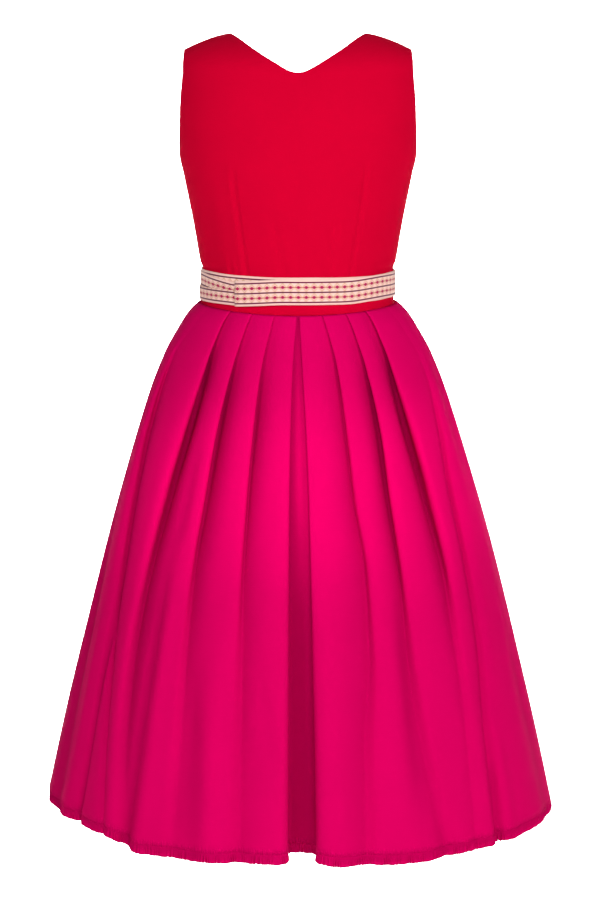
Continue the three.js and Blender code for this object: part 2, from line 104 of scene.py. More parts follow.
# The skirt's sections, and how far each fold runs under its edge (below 0 it lies open as a
# wave), how deep it is and how softly it is rounded.
SKIRT = (
    # z, half, depth, over, deep, soft
    (WAIST_Z, 129.5, 100.5, 16, 4.4, 1.2),
    (-358, 136.7, 103.5, 16, 4.7, 1.4),
    (-366, 144.5, 108, 16, 5.4, 1.8),
    (-385, 158.0, 117, 15, 6.8, 2.0),
    (-412, 174.5, 130, 13, 10.5, 2.3),
    (-450, 190.5, 144, 11, 15.5, 2.8),
    (-504, 208.3, 160, 8, 19, 3.4),
    (-575, 229.5, 178, 4, 19, 4.6),
    (-665, 255.0, 196, 1, 16, 6.5),
    (-770, 281.3, 214, -6, 12, 9),
    (-890, 309.2, 232, -13, 10, 12),
    (-1019, 337.2, 248.5, -20, 8.5, 16),
)
BOX_PLEAT = (
    # z, over, deep at the left, deep at the right, soft
    (WAIST_Z, 16, 4.4, 4.4, 1.2),
    (-385, 17, 8, 5, 2.0),
    (-450, 17, 13, 6, 2.6),
    (-575, 15, 20, 9, 3.4),
    (-665, 13, 28, 16, 4.0),
    (-770, 10, 38, 26, 4.5),
    (-1019, 7, 50, 42, 5.0),
)
# Broad forms of the skirt's back that grow towards the hem. Places and half widths on the skirt
# are shares of the quarter, below 0 left of the middle; heights are in mm at the hem.
BROAD_FORMS = (
    # place, half width, height
    (-0.77, 0.13, -15.0),
    (-0.28, 0.05, 6.0),
    (0.10, 0.07, 9.0),
    (0.37, 0.07, 8.0),
)
# Places where the back's hem hangs higher or lower.
HEM_SWINGS = (
    # place, half width, rise
    (0.03, 0.06, 3.5),
    (0.27, 0.11, -4.0),
)
# Stretches beyond which the whole hem is lifted.
HEM_LIFTS = (
    # begins at, full at, rise
    (-0.46, -0.6, 12.5),
    (-0.87, -1, 6.0),
    (0.52, 0.8, 5.0),
)
FOLD_SHARE = {
    # z, box, 1st, 2nd, 3rd, 4th fold edge as a share of the quarter
    "left": (
        (WAIST_Z, 0.008, 0.165, 0.33, 0.505, 0.745),
        (-412, 0.024, 0.190, 0.350, 0.515, 0.825),
        (-504, 0.032, 0.203, 0.377, 0.556, 0.846),
        (-575, 0.034, 0.208, 0.386, 0.585, 0.815),
        (-665, 0.034, 0.210, 0.399, 0.604, 0.765),
        (-770, 0.033, 0.211, 0.405, 0.617, 0.737),
        (-890, 0.031, 0.209, 0.400, 0.600, 0.692),
        (-1019, 0.030, 0.210, 0.400, 0.560, 0.640),
    ),
    "right": (
        (WAIST_Z, 0.008, 0.172, 0.345, 0.508, 0.745),
        (-412, 0.020, 0.205, 0.364, 0.519, 0.795),
        (-504, 0.034, 0.220, 0.381, 0.553, 0.760),
        (-575, 0.038, 0.227, 0.376, 0.572, 0.720),
        (-665, 0.039, 0.249, 0.380, 0.579, 0.703),
        (-770, 0.040, 0.250, 0.385, 0.574, 0.683),
        (-890, 0.043, 0.229, 0.408, 0.565, 0.650),
        (-1019, 0.044, 0.227, 0.455, 0.560, 0.640),
    ),
}
FOLD_STRENGTH = {
    # z, how much each of the four folds keeps of its depth; a weak fold is an open wave
    "left": (
        (-385, 1, 1, 1.1, 0.15), (-425, 0.85, 1, 1.4, 0.5), (-575, 0.8, 1, 1.35, 0.8),
        (-800, 0.9, 0.8, 1.2, 1), (-1019, 0.9, 0.3, 0.7, 0.5),
    ),
    "right": (
        (-400, 0.9, 1, 1.2, 0.15), (-470, 0.7, 1, 1.45, 0.4), (-575, 0.7, 1, 1.35, 0.6),
        (-800, 1, 1, 0.6, 0.8), (-1019, 0.8, 0.9, 0.3, 1),
    ),
}
# Soft troughs (below 0) and ridges of the skirt beyond its fold edges, each along a line
# between two places at two heights; half widths and heights are in mm.
BACK_SOFT_FOLDS = (
    # place, z, place, z, half width, height
    (-0.494, -690, -0.509, -1019, 9, -5.0),
    (-0.462, -680, -0.474, -1019, 13, 3.5),
    (-0.335, -820, -0.288, -1019, 16, -3.0),
    (-0.262, -860, -0.250, -1019, 12, 2.0),
    (-0.120, -790, -0.075, -900, 9, -1.2),
    (-0.450, -520, -0.470, -640, 8, -2.0),
    (-0.735, -700, -0.742, -1019, 6, -6.0),
    (-0.800, -760, -0.810, -1019, 14, 4.0),
    (-0.900, -640, -0.890, -1019, 14, -5.0),
    (0.108, -620, 0.095, -1019, 22, 2.2),
    (0.350, -720, 0.345, -960, 11, -3.5),
    (0.500, -640, 0.520, -900, 20, 2.5),
    (0.628, -930, 0.612, -1019, 6, -3.5),
    (0.660, -900, 0.655, -1019, 10, 2.5),
    (0.850, -800, 0.870, -1019, 18, -2.8),
    (0.880, -430, 0.860, -560, 14, -2.0),
)
FRONT_SOFT_FOLDS = (
    (-0.500, -720, -0.520, -1019, 10, -4.0),
    (-0.460, -720, -0.480, -1019, 14, 3.0),
    (-0.290, -840, -0.270, -1019, 14, -2.6),
    (0.120, -650, 0.100, -1019, 20, 1.8),
    (0.320, -720, 0.340, -1019, 12, -3.0),
    (0.500, -820, 0.520, -1019, 14, 2.4),
    (0.720, -860, 0.740, -1019, 12, -2.6),
    (0.910, -780, 0.930, -1019, 18, -2.6),
)
# Darts and pulls of the bodice, each along a line from its upper end past a middle point to
# its lower end; heights below 0 are troughs.
BACK_DARTS = (
    # x0, z0, x1, z1, x2, z2, half width, height
    (-82, -170, -80, -200, -65, -303, 2.8, -1.2),
    (86, -165, 82, -210, 67, -303, 2.8, -1.2),
    (-33, -228, -26, -265, -16, -303, 6.0, -0.9),
    (46, -228, 44, -265, 41, -303, 6.0, -0.8),
    (-92, -286, -90, -293, -88, -303, 3.0, 1.0),
    (-83, -284, -81, -292, -79, -303, 3.0, 1.1),
    (-73, -288, -72, -294, -70, -303, 3.0, 0.8),
    (-118, -210, -112, -250, -104, -303, 9.0, -1.0),
    (120, -205, 114, -250, 106, -303, 9.0, -1.0),
)
FRONT_DARTS = (
    (-72, -188, -68, -240, -62, -303, 2.6, -1.5),
    (74, -186, 69, -240, 63, -303, 2.6, -1.5),
    (-24, -250, -20, -275, -14, -303, 6.0, -0.8),
    (30, -250, 27, -275, 22, -303, 6.0, -0.8),
    (-112, -215, -108, -255, -102, -303, 9.0, -1.0),
    (114, -215, 110, -255, 103, -303, 9.0, -1.0),
)
BAND_TOP = -306.3
BAND_WIDTH = 32.6
FOLDED_WIDTH = 19.0
# Height at which the bodice's section gives the belt's course.
BAND_COURSE_Z = -320.0
INNER_TURN = (
    # angle from the middle of the back, top, lift off the bodice, width
    (0, BAND_TOP + 2.1, 0.75, BAND_WIDTH),
    (30, BAND_TOP + 1.7, 0.75, BAND_WIDTH),
    (70, BAND_TOP + 3.4, 0.75, BAND_WIDTH),
    (180, BAND_TOP + 3.4, 0.75, BAND_WIDTH),
    (270, BAND_TOP + 6.7, 0.75, BAND_WIDTH),
    (310, BAND_TOP + 4.4, 0.75, BAND_WIDTH),
    (360, BAND_TOP + 2.1, 0.75, BAND_WIDTH),
)
MIDDLE_TURN = (
    (207, BAND_TOP + 2, 2.0, BAND_WIDTH),
    (262, BAND_TOP + 3.8, 2.0, BAND_WIDTH),
    (280, BAND_TOP + 3.0, 2.0, BAND_WIDTH),
    (305, BAND_TOP - 0.8, 2.0, BAND_WIDTH - 1.5),
    (321, BAND_TOP - 5.0, 2.0, BAND_WIDTH - 4.5),
    (335, BAND_TOP - 7.2, 2.0, BAND_WIDTH - 6),
)
OUTER_TURN = (
    (-36.9, BAND_TOP - 3.1, 4.6, BAND_WIDTH),
    (-20, BAND_TOP - 1.6, 4.6, BAND_WIDTH),
    (-4, BAND_TOP - 0.2, 2.9, BAND_WIDTH),
    (23, BAND_TOP, 2.0, BAND_WIDTH),
    (46, BAND_TOP + 1.9, 2.0, BAND_WIDTH - 0.4),
    (65, BAND_TOP + 2.9, 2.0, BAND_WIDTH - 0.6),
    (171, BAND_TOP + 2.4, 2.0, BAND_WIDTH),
    (198, BAND_TOP, 3.3, BAND_WIDTH),
    (225, BAND_TOP - 8, 3.3, BAND_WIDTH - 6),
    (265, BAND_TOP - 16.2, 3.3, FOLDED_WIDTH),
    (298, BAND_TOP - 14.8, 3.3, FOLDED_WIDTH),
    (329, BAND_TOP - 15.6, 3.3, FOLDED_WIDTH),
)


def read_table(rows, at):
    """Every column of a table at places of its first column, along smooth curves."""
    table = np.array(sorted(rows), float)
    keys, values = table[:, 0], table[:, 1:]
    at = np.clip(np.asarray(at, float), keys[0], keys[-1])
    step = np.diff(keys)[:, None]
    rise = np.diff(values, axis=0) / step
    slope = np.zeros_like(values)
    slope[0], slope[-1] = rise[0], rise[-1]
    product = rise[:-1] * rise[1:]
    with np.errstate(divide="ignore", invalid="ignore"):
        mean = 2 * product / (rise[:-1] + rise[1:])
    slope[1:-1] = np.where(product > 0, mean, 0)
    k = np.clip(np.searchsorted(keys, at, side="right") - 1, 0, len(keys) - 2)
    h = np.diff(keys)[k][..., None]
    t = ((at - keys[k]) / np.diff(keys)[k])[..., None]
    return ((2 * t**3 - 3 * t**2 + 1) * values[k] + (t**3 - 2 * t**2 + t) * slope[k] * h
            + (3 * t**2 - 2 * t**3) * values[k + 1] + (t**3 - t**2) * slope[k + 1] * h)


def mix(a, b, t):
    return a + (b - a) * t


def smooth(low, high, at):
    """0 up to low, 1 from high on, and an even curve between them."""
    t = np.clip((at - low) / (high - low), 0, 1)
    return t * t * (3 - 2 * t)


def waist_at(x):
    """Height of the waist seam."""
    return WAIST_Z + WAIST_RISE * np.clip(np.abs(x) / WAIST_HALF, 0, 1) ** 2


def grid_faces(rows, columns, flip):
    """Quads over a grid of points laid out row by row."""
    j, i = np.meshgrid(np.arange(rows - 1), np.arange(columns - 1), indexing="ij")
    a = (j * columns + i).ravel()
    quads = np.stack([a, a + 1, a + 1 + columns, a + columns], 1)
    return quads[:, ::-1] if flip else quads


def run_lengths(points):
    """Distances along each row and each column of a grid, from its first point."""
    along = np.linalg.norm(np.diff(points, axis=1), axis=2)
    along = np.concatenate([np.zeros((len(points), 1)), np.cumsum(along, 1)], 1)
    down = np.linalg.norm(np.diff(points, axis=0), axis=2)
    down = np.concatenate([np.zeros((1, points.shape[1])), np.cumsum(down, 0)], 0)
    return along, down


def cloth_object(name, grids, wall, material, flip, closed=False, from_bottom=None):
    """One object from grids of points in mm, thickened to the cloth's wall.

    The map "cloth" holds metres along and down the cloth, counted from its top edge, or from
    so many mm above its bottom edge where that is given. The points may carry a fourth number,
    their painted shade, which is kept as a point attribute and darkens the colour.
    """
    vertices, faces, uvs, painted_shade = [], [], [], []
    start = 0
    for points in grids:
        rows, columns, numbers = points.shape
        shade_values = points[:, :, 3] if numbers > 3 else np.zeros((rows, columns))
        painted_shade.append(shade_values.ravel())
        points = points[:, :, :3]
        along, down = run_lengths(points)
        middle = along[:, columns // 2][:, None]
        if from_bottom is not None:
            down = down - down[-1] + from_bottom
        uvs.append(np.stack([along - middle, -down], 2).reshape(-1, 2) * MM)
        vertices.append(points.reshape(-1, 3) * MM)
        faces.append(grid_faces(rows, columns, flip) + start)
        start += rows * columns
    vertices = np.concatenate(vertices)
    faces = np.concatenate(faces)
    uvs = np.concatenate(uvs)
    mesh = bpy.data.meshes.new(name)
    mesh.from_pydata(vertices.tolist(), [], faces.tolist())
    layer = mesh.uv_layers.new(name="cloth")
    layer.data.foreach_set("uv", uvs[faces.ravel()].astype(np.float32).ravel())
    attribute = mesh.attributes.new("painted_shade", "FLOAT", "POINT")
    attribute.data.foreach_set("value", np.concatenate(painted_shade).astype(np.float32))
    obj = bpy.data.objects.new(name, mesh)
    bpy.context.scene.collection.objects.link(obj)
    if len(grids) > 1 or closed:
        bm = bmesh.new()
        bm.from_mesh(mesh)
        bmesh.ops.remove_doubles(bm, verts=bm.verts, dist=1e-6)
        bm.to_mesh(mesh)
        bm.free()
    mesh.polygons.foreach_set("use_smooth", np.ones(len(mesh.polygons), bool))
    mesh.materials.append(material)
    shell = obj.modifiers.new("wall", "SOLIDIFY")
    shell.thickness = wall
    shell.offset = 0
    return obj


# ---- skirt ----
def fold_polygon(z, total, hand):
    """Corners of the folds over one quarter of the skirt.

    Columns: length from the centre, depth below the crests, painted shade of the place.
    """
    _, _, over, deep, soft = read_table(SKIRT, z)
    shares = read_table(FOLD_SHARE[hand], z)
    box_over, deep_left, deep_right, box_soft = read_table(BOX_PLEAT, z)
    box_middle = (deep_left + deep_right) / 2
    box_deep = deep_left if hand == "left" else deep_right
    folds = [(shares[0] * total, box_over, box_deep, box_soft)]
    for share, keep in zip(shares[1:], read_table(FOLD_STRENGTH[hand], z)):
        under = min(over, mix(-12, over, min(keep, 1)))
        folds.append((share * total, under, deep * keep, soft))
    floor = mix(box_middle, box_deep, 0.4)
    # Painted shade in the box pleat, dark at its deeper left side near the waist.
    shaded = mix(0.9 if hand == "left" else 0.1, 0.72, smooth(-560, -760, z))
    corners = [(0.0, box_middle, 0.5 * shaded), (0.4 * (folds[0][0] + box_over), floor, shaded)]

    def between(p, q, t):
        return tuple(mix(a, b, t) for a, b in zip(p, q))

    def toward(p, q, by):
        length = math.hypot(q[0] - p[0], q[1] - p[1])
        return between(p, q, min(by / length, 0.4))

    for k, (edge, run_under, low_depth, round_by) in enumerate(folds):
        following = folds[k + 1] if k + 1 < len(folds) else None
        opened = min(max(-run_under / 30, 0), 1)
        lean = 0.5 * opened * round_by
        # Painted shade deep in each fold, stronger the deeper it is.
        dark = shaded if k == 0 else smooth(3, 17, low_depth)
        low = (edge + run_under, low_depth, dark)
        low_back = (low[0] + lean, low_depth * mix(0.5, 1, opened), dark)
        high = (edge, 0.0, 0.0)
        high_back = (edge - lean, low_depth * mix(0.5, 0, opened), 0.3 * dark)
        corners.append(toward(low, corners[-1], round_by))
        corners.append(between(low, low_back, 0.5))
        corners.append(toward(low_back, high_back, round_by))
        corners.append(toward(high_back, low_back, round_by))
        corners.append(between(high, high_back, 0.5))
        # The panel swells beyond its edge, then drops steeply under the edge that follows.
        bulge = 0.05 * round_by
        if not following:
            for t in np.linspace(0.1, 0.92, 9):
                corners.append((mix(edge, total, t), -bulge * math.sin(math.pi * t), 0.0))
            break
        reach = following[0] + min(following[1], 0)
        sag = following[2]
        closed = min(max(following[1] / 6, 0), 1)
        # Painted shade on the slope down into the fold that follows.
        dark = smooth(3, 17, sag)
        swell = (mix(edge, reach, 0.34), 0.05 * sag - bulge, 0.0)
        corners.append(toward(high, swell, round_by))
        corners.append(swell)
        corners.append((mix(edge, reach, 0.68), 0.27 * sag - bulge, 0.4 * dark))
        drop = (mix(edge, reach, 0.9), 0.66 * sag, 0.8 * dark)
        corners.append(between(drop, (reach - 1.5, 0.94 * sag, dark), closed))
    corners.append((total, 0.0, 0.0))
    return np.array(corners)


def spline(corners, samples):
    """A smooth curve drawn towards the corners; it begins and ends on the outer two."""
    first, last = corners[0], corners[-1]
    c = np.vstack([2 * first - corners[1], corners, 2 * last - corners[-2]])
    t = (np.arange(samples) / samples)[:, None, None]
    a, b, d, e = c[:-3], c[1:-2], c[2:-1], c[3:]
    curve = ((1 - t) ** 3 * a + (3 * t**3 - 6 * t**2 + 4) * b
             + (-3 * t**3 + 3 * t**2 + 3 * t + 1) * d + t**3 * e) / 6
    return np.vstack([curve.transpose(1, 0, 2).reshape(-1, corners.shape[1]), last])


def soft_folds(folds, share, z, total):
    """Height added by the listed troughs and ridges, in mm."""
    added = np.zeros_like(share)
    for s0, z0, s1, z1, width, height in folds:
        t = (z - z0) / (z1 - z0)
        if t < -0.25:
            continue
        fade = min(max((t + 0.25) / 0.6, 0), 1)
        fade = fade * fade * (3 - 2 * fade)
        if z1 > -1000:
            tail = min(max((1.3 - t) / 0.6, 0), 1)
            fade *= tail * tail * (3 - 2 * tail)
        centre = mix(s0, s1, t) * total
        reach = width * mix(0.7, 1.15, min(max(t, 0), 1))
        added += height * fade * np.exp(-(((share * total - centre) / reach) ** 2))
    return added


def skirt_row(z, side, samples):
    """One section of a skirt length, from its seam at -X round to its seam at +X."""
    half, depth = read_table(SKIRT, z)[:2]
    angles = np.linspace(0, math.pi / 2, 241)
    arc = np.hypot(np.diff(half * np.sin(angles)), np.diff(depth * np.cos(angles)))
    arc = np.concatenate([[0], np.cumsum(arc)])
    total = arc[-1]
    hands = ("left", "right") if side < 0 else ("right", "left")
    left = fold_polygon(z, total, hands[0])[:0:-1] * (-1, 1, 1)
    right = fold_polygon(z, total, hands[1])
    curve = spline(np.vstack([left, right]), samples)
    run, below, painted_shade = curve.T
    folds = BACK_SOFT_FOLDS if side < 0 else FRONT_SOFT_FOLDS
    share = run / total
    added = soft_folds(folds, share, z, total)
    below = below - added
    # Painted shade in the soft troughs.
    painted_shade = mix(painted_shade, 1, np.clip(-added / 7, 0, 0.8))
    ripple = np.sin(share * 31 + z * 0.013) + np.sin(share * 53 - z * 0.021 + 1.7)
    below = below + 0.22 * ripple * min(max((-z - 400) / 200, 0), 1)
    low = smooth(BROAD_START_Z, HEM_SEAM_Z, z)
    hung = np.zeros_like(share)
    if side < 0:
        for place, width, height in BROAD_FORMS:
            below = below - height * low * np.exp(-(((share - place) / width) ** 2))
        for place, width, rise in HEM_SWINGS:
            hung = hung + rise * low * np.exp(-(((share - place) / width) ** 2))
    angle = np.interp(np.abs(run), arc, angles) * np.sign(run)
    normal = np.stack([np.sin(angle) / half, np.cos(angle) / depth], 1)
    normal /= np.linalg.norm(normal, axis=1)[:, None]
    x = half * np.sin(angle) - normal[:, 0] * below
    y = depth * np.cos(angle) - normal[:, 1] * below
    fade = min(max((z + 420) / (WAIST_Z + 420), 0), 1)
    height = z + fade * (waist_at(x) - WAIST_Z) + hung
    for begins, full, rise in HEM_LIFTS:
        height += low * rise * smooth(begins, full, share)
    y = np.maximum(y, HALF_SEAM)
    # Painted shade: darker near the top, low down and towards the side seam at -X.
    painted_zone_shade = 0.52 * smooth(-560, -740, z) + 0.45 * smooth(-530, -420, z)
    painted_zone_shade = mix(painted_zone_shade, 0.9, smooth(-0.74, -1, share))
    painted_shade = mix(painted_shade, 1, painted_zone_shade)
    return np.stack([x + SWAY * smooth(-420, -800, z), side * y, height, painted_shade], 1)


def skirt_heights():
    """Heights of the skirt's sections, closest where it springs from the waist."""
    top = WAIST_Z - WAIST_GAP
    upper = np.arange(0, 60, 2.5)
    lower = np.linspace(60, top - HEM_SEAM_Z, 76)
    return top - np.concatenate([upper, lower])


def ruffle_grid(side, gathers):
    """The gathered strip below one skirt length, from the hem seam down."""
    course = skirt_row(HEM_SEAM_Z, side, 6)
    run = np.linalg.norm(np.diff(course[:, :3], axis=0), axis=1)
    run = np.concatenate([[0], np.cumsum(run)])
    at = np.linspace(0, run[-1], gathers * 8 + 1)
    x = np.interp(at, run, course[:, 0])
    y = np.interp(at, run, course[:, 1])
    lift = np.interp(at, run, course[:, 2] - HEM_SEAM_Z)
    painted_shade = np.interp(at, run, course[:, 3])
    along = np.stack([np.gradient(x), np.gradient(y)], 1)
    along /= np.linalg.norm(along, axis=1)[:, None]
    out = np.stack([along[:, 1], -along[:, 0]], 1) * -side
    ends = np.clip(np.minimum(at, run[-1] - at) / 8, 0, 1)
    # The gathers are of uneven width, size and depth.
    place = at / run[-1] * gathers
    place = place + 0.45 * np.sin(place * 0.9) + 0.35 * np.sin(place * 0.37 + 1)
    wave = np.sin(2 * math.pi * place)
    size = 0.75 + 0.4 * np.sin(place * 1.3) + 0.3 * np.sin(place * 0.61 + 2)
    scallop = np.sin(place * 1.3 + 0.8 * np.sin(place * 0.25)) + 0.6 * np.sin(place * 0.55 + 2)
    top, bottom = HEM_SEAM_Z + 0.25, HEM_Z + 0.8
    rows = []
    for t in np.linspace(0, 1, 7):
        swing = 1.1 * t * size * ends
        flare = 0.8 * t**1.5 * ends
        z = mix(top, bottom, t) + lift + t * (wave * size + 0.3 * scallop)
        off = out * (wave * swing + flare)[:, None]
        across = side * np.maximum(side * (y + off[:, 1]), HALF_SEAM)
        # Painted shade in the troughs of the gathers, stronger towards the bottom and in larger
        # gathers.
        gather_shade = mix(painted_shade, 1, 0.55 * t**0.5 * size * (0.5 - 0.5 * wave))
        rows.append(np.stack([x + off[:, 0], across, z, gather_shade], 1))
    return np.array(rows)


# ---- bodice ----
def squared(half, depth, angle):
    """Points of a section that is a little squarer than an ellipse, from the middle on."""
    s, c = np.sin(angle), np.cos(angle)
    x = half * np.sign(s) * np.abs(s) ** (2 / ROUND)
    y = depth * np.sign(c) * np.abs(c) ** (2 / ROUND)
    return x, y


def crease_height(creases, x, z):
    """Height added by the bodice's darts and pulls, in mm."""
    added = np.zeros_like(x)
    for x0, z0, x1, z1, x2, z2, width, height in creases:
        line = np.interp(-z, (-z0, -z1, -z2), (x0, x1, x2))
        start = np.clip((z0 + 14 - z) / 28, 0, 1)
        end = np.clip((z - z2 + 10) / 12, 0, 1)
        fade = start * start * (3 - 2 * start) * end
        added += height * fade * np.exp(-(((x - line) / width) ** 2))
        if width < 4 and height < -1:
            beside = line + np.sign(line) * width * 2.2
            added += 0.5 * fade * np.exp(-(((x - beside) / (1.6 * width)) ** 2))
    return added


def bodice_half(side, mirror, across):
    """Rows of points over one half of a bodice panel, from the waist seam to the shoulder."""
    if side < 0:
        neck_depth, neck_edge, creases = BACK_NECK_DEPTH, BACK_NECK, BACK_DARTS
        armhole, column, below_neck, beside_neck = BACK_ARMHOLE, 1, 34, 30
    else:
        neck_depth, neck_edge, creases = FRONT_NECK_DEPTH, FRONT_NECK, FRONT_DARTS
        armhole, column, below_neck, beside_neck = FRONT_ARMHOLE, 2, 10, 46
    share = np.linspace(0, 1, across + 1)
    rows = []

    def sized(z):
        values = read_table(BODICE, z)
        return values[0], values[column]

    heights = np.concatenate([np.arange(WAIST_Z, -300, 3), np.arange(-298, UNDERARM_Z, 3.5)])
    for z in heights:
        half, depth = sized(z)
        x, y = squared(half, depth, share * math.pi / 2)
        lift = max((STRIP_TOP_Z - z) / (STRIP_TOP_Z - WAIST_Z), 0) * (waist_at(x) - WAIST_Z)
        rows.append(np.stack([x, np.maximum(y, HALF_SEAM), z + lift], 1))
    for z in np.linspace(UNDERARM_Z, -neck_depth, below_neck):
        half, depth = sized(z)
        rise = min(max((z - UNDERARM_Z) / (ARMHOLE_TOP_Z - UNDERARM_Z), 0), 1)
        inset = armhole * math.sin(rise * math.pi / 2) ** 0.8
        stop = math.acos(min((inset + HALF_SEAM) / depth, 1) ** (ROUND / 2))
        x, y = squared(half, depth, share * stop)
        rows.append(np.stack([x, y, np.full_like(x, z)], 1))
    body_rows = len(rows)
    base = rows[-1]
    # Above the neck's lowest point each row also turns up and over to the shoulder edge.
    for k in range(1, beside_neck + 1):
        q = (k / beside_neck) ** 1.35
        up = math.sin(q * math.pi / 2)
        turn = math.sqrt(max(1 - up**2.6, 0))
        top = SHOULDER_TOP - SHOULDER_DROP * share**1.5
        z = mix(-neck_depth, top, up)
        inner = read_table(neck_edge, mix(-neck_depth, 0, up))[0]
        outer = mix(base[-1, 0], SHOULDER_HALF, up**2)
        x = mix(inner, outer, mix(base[:, 0] / base[-1, 0], share, up))
        depth = read_table(BODICE, z)[:, column]
        rise = np.clip((z - UNDERARM_Z) / (ARMHOLE_TOP_Z - UNDERARM_Z), 0, 1)
        edge = armhole * np.sin(rise * math.pi / 2) ** 0.8
        reach = 1 - (edge / depth) ** ROUND
        flat = depth * (1 - (x / outer) ** ROUND * reach) ** (1 / ROUND)
        rows.append(np.stack([x, HALF_SEAM + (flat - HALF_SEAM) * turn, z], 1))
    points = np.array(rows)
    points[:, :, 0] *= mirror
    grown = crease_height(creases, points[:, :, 0], points[:, :, 2])
    outward = points[:, :, :2] / (np.linalg.norm(points[:, :, :2], axis=2)[:, :, None] + 1e-6)
    points[:, :, :2] += outward * grown[:, :, None]
    points[:body_rows, 0, 0] = 0
    points[:, :, 1] *= side
    return points


# ---- woven band ----
def band_grid(turns, wobble):
    """One turn of the belt, from its upper edge down, with a slight crown and uneven edges."""
    first, last = turns[0][0], turns[-1][0]
    stops = np.linspace(first, last, int((last - first) / 1.5) + 1)
    top, lift, width = read_table(turns, stops).T
    half, back, front = read_table(BODICE, BAND_COURSE_Z)
    angle = np.radians(stops)
    wave = np.sin(angle * 5 + wobble) * 0.35 + np.sin(angle * 11 + 2 * wobble) * 0.15
    depth = np.where(np.cos(angle) > 0, back, front)
    rows = []
    for t in np.linspace(0, 1, 13):
        crown = 0.35 * (1 - (2 * t - 1) ** 4)
        reach = 0.6 + lift + crown
        x, y = squared(half + reach, depth + reach, angle)
        rows.append(np.stack([x, -y, top + wave - t * width], 1))
    return np.array(rows)


# ---- materials ----
class Nodes:
    """Short calls for adding and joining the nodes of one material."""

    def __init__(self, name):
        self.material = bpy.data.materials.new(name)
        self.material.use_nodes = True
        self.tree = self.material.node_tree
        self.shader = self.tree.nodes["Principled BSDF"]

    def add(self, kind, **inputs):
        node = self.tree.nodes.new(kind)
        for key, value in inputs.items():
            if hasattr(node, key):
                setattr(node, key, value)
            else:
                self.put(value, node.inputs[key])
        return node

    def put(self, value, socket):
        if isinstance(value, bpy.types.NodeSocket):
            self.tree.links.new(value, socket)
        else:
            socket.default_value = value

    def math(self, operation, a, b=0.0, c=0.0):
        node = self.tree.nodes.new("ShaderNodeMath")
        node.operation = operation
        for value, socket in zip((a, b, c), node.inputs):
            self.put(value, socket)
        return node.outputs[0]

    def blend(self, share, a, b):
        node = self.tree.nodes.new("ShaderNodeMix")
        node.data_type = "RGBA"
        for value, index in ((share, 0), (a, 6), (b, 7)):
            self.put(value, node.inputs[index])
        return node.outputs[2]

    def uv(self):
        node = self.tree.nodes.new("ShaderNodeUVMap")
        node.uv_map = "cloth"
        parts = self.tree.nodes.new("ShaderNodeSeparateXYZ")
        self.tree.links.new(node.outputs[0], parts.inputs[0])
        return node.outputs[0], parts.outputs[0], parts.outputs[1]

    def noise(self, vector, scale, detail=2.0):
        node = self.tree.nodes.new("ShaderNodeTexNoise")
        self.put(vector, node.inputs["Vector"])
        node.inputs["Scale"].default_value = scale
        node.inputs["Detail"].default_value = detail
        return node.outputs["Fac"]

    def weave(self, u, v, pitch):
        """Threads over and under one another, as a height from -1 to 1."""
        turn = 2 * math.pi / pitch
        a = self.math("SINE", self.math("MULTIPLY", u, turn))
        b = self.math("SINE", self.math("MULTIPLY", v, turn))
        return self.math("MULTIPLY", a, b)


def shade(colour, by):
    """A colour made darker or lighter, with full opacity."""
    return tuple(channel * by for channel in colour[:3]) + (1.0,)


def cloth_material(name, colour, pitch, relief, rough, puckers=0.0):
    """Plain woven cloth with painted shade from its points, puckered beside v = 0 if asked."""
    pucker_reach = 0.010
    n = Nodes(name)
    vector, u, v = n.uv()
    cloudy = n.noise(vector, 14, 3)
    slub = n.tree.nodes.new("ShaderNodeMapping")
    n.put(vector, slub.inputs["Vector"])
    slub.inputs["Scale"].default_value = (60, 900, 1)
    threads = n.noise(slub.outputs[0], 1.0, 2)
    tone = n.math("ADD", n.math("MULTIPLY", cloudy, 0.55), n.math("MULTIPLY", threads, 0.45))
    even = n.blend(tone, shade(colour, 0.90), shade(colour, 1.06))
    # Painted shade: the point attribute darkens the colour towards a dark copy of it.
    fold = n.add("ShaderNodeAttribute", attribute_name="painted_shade").outputs["Fac"]
    fold = n.math("MINIMUM", n.math("MAXIMUM", fold, 0.0), 1.0)
    fold = n.math("MULTIPLY", n.math("POWER", fold, 1.3), 0.52)
    n.put(n.blend(fold, even, shade(colour, 0.12)), n.shader.inputs["Base Color"])
    n.put(n.math("MULTIPLY_ADD", threads, 0.16, rough), n.shader.inputs["Roughness"])
    height = n.math("ADD", n.math("MULTIPLY", n.weave(u, v, pitch), 0.5), threads)
    if puckers:
        away = n.math("DIVIDE", n.math("ABSOLUTE", v), pucker_reach)
        near = n.math("MAXIMUM", n.math("SUBTRACT", 1.0, away), 0.0)
        drift = n.math("MULTIPLY", n.noise(vector, 90, 1), 9.0)
        wave = n.math("SINE", n.math("MULTIPLY_ADD", u, 2 * math.pi / puckers, drift))
        wave = n.math("MULTIPLY", wave, n.math("MULTIPLY", near, 7.0))
        height = n.math("ADD", height, wave)
    bump = n.add("ShaderNodeBump", Strength=0.5, Distance=relief, Height=height)
    n.put(bump.outputs[0], n.shader.inputs["Normal"])
    n.shader.inputs["Specular IOR Level"].default_value = 0.15
    n.shader.inputs["IOR"].default_value = 1.12
    return n.material


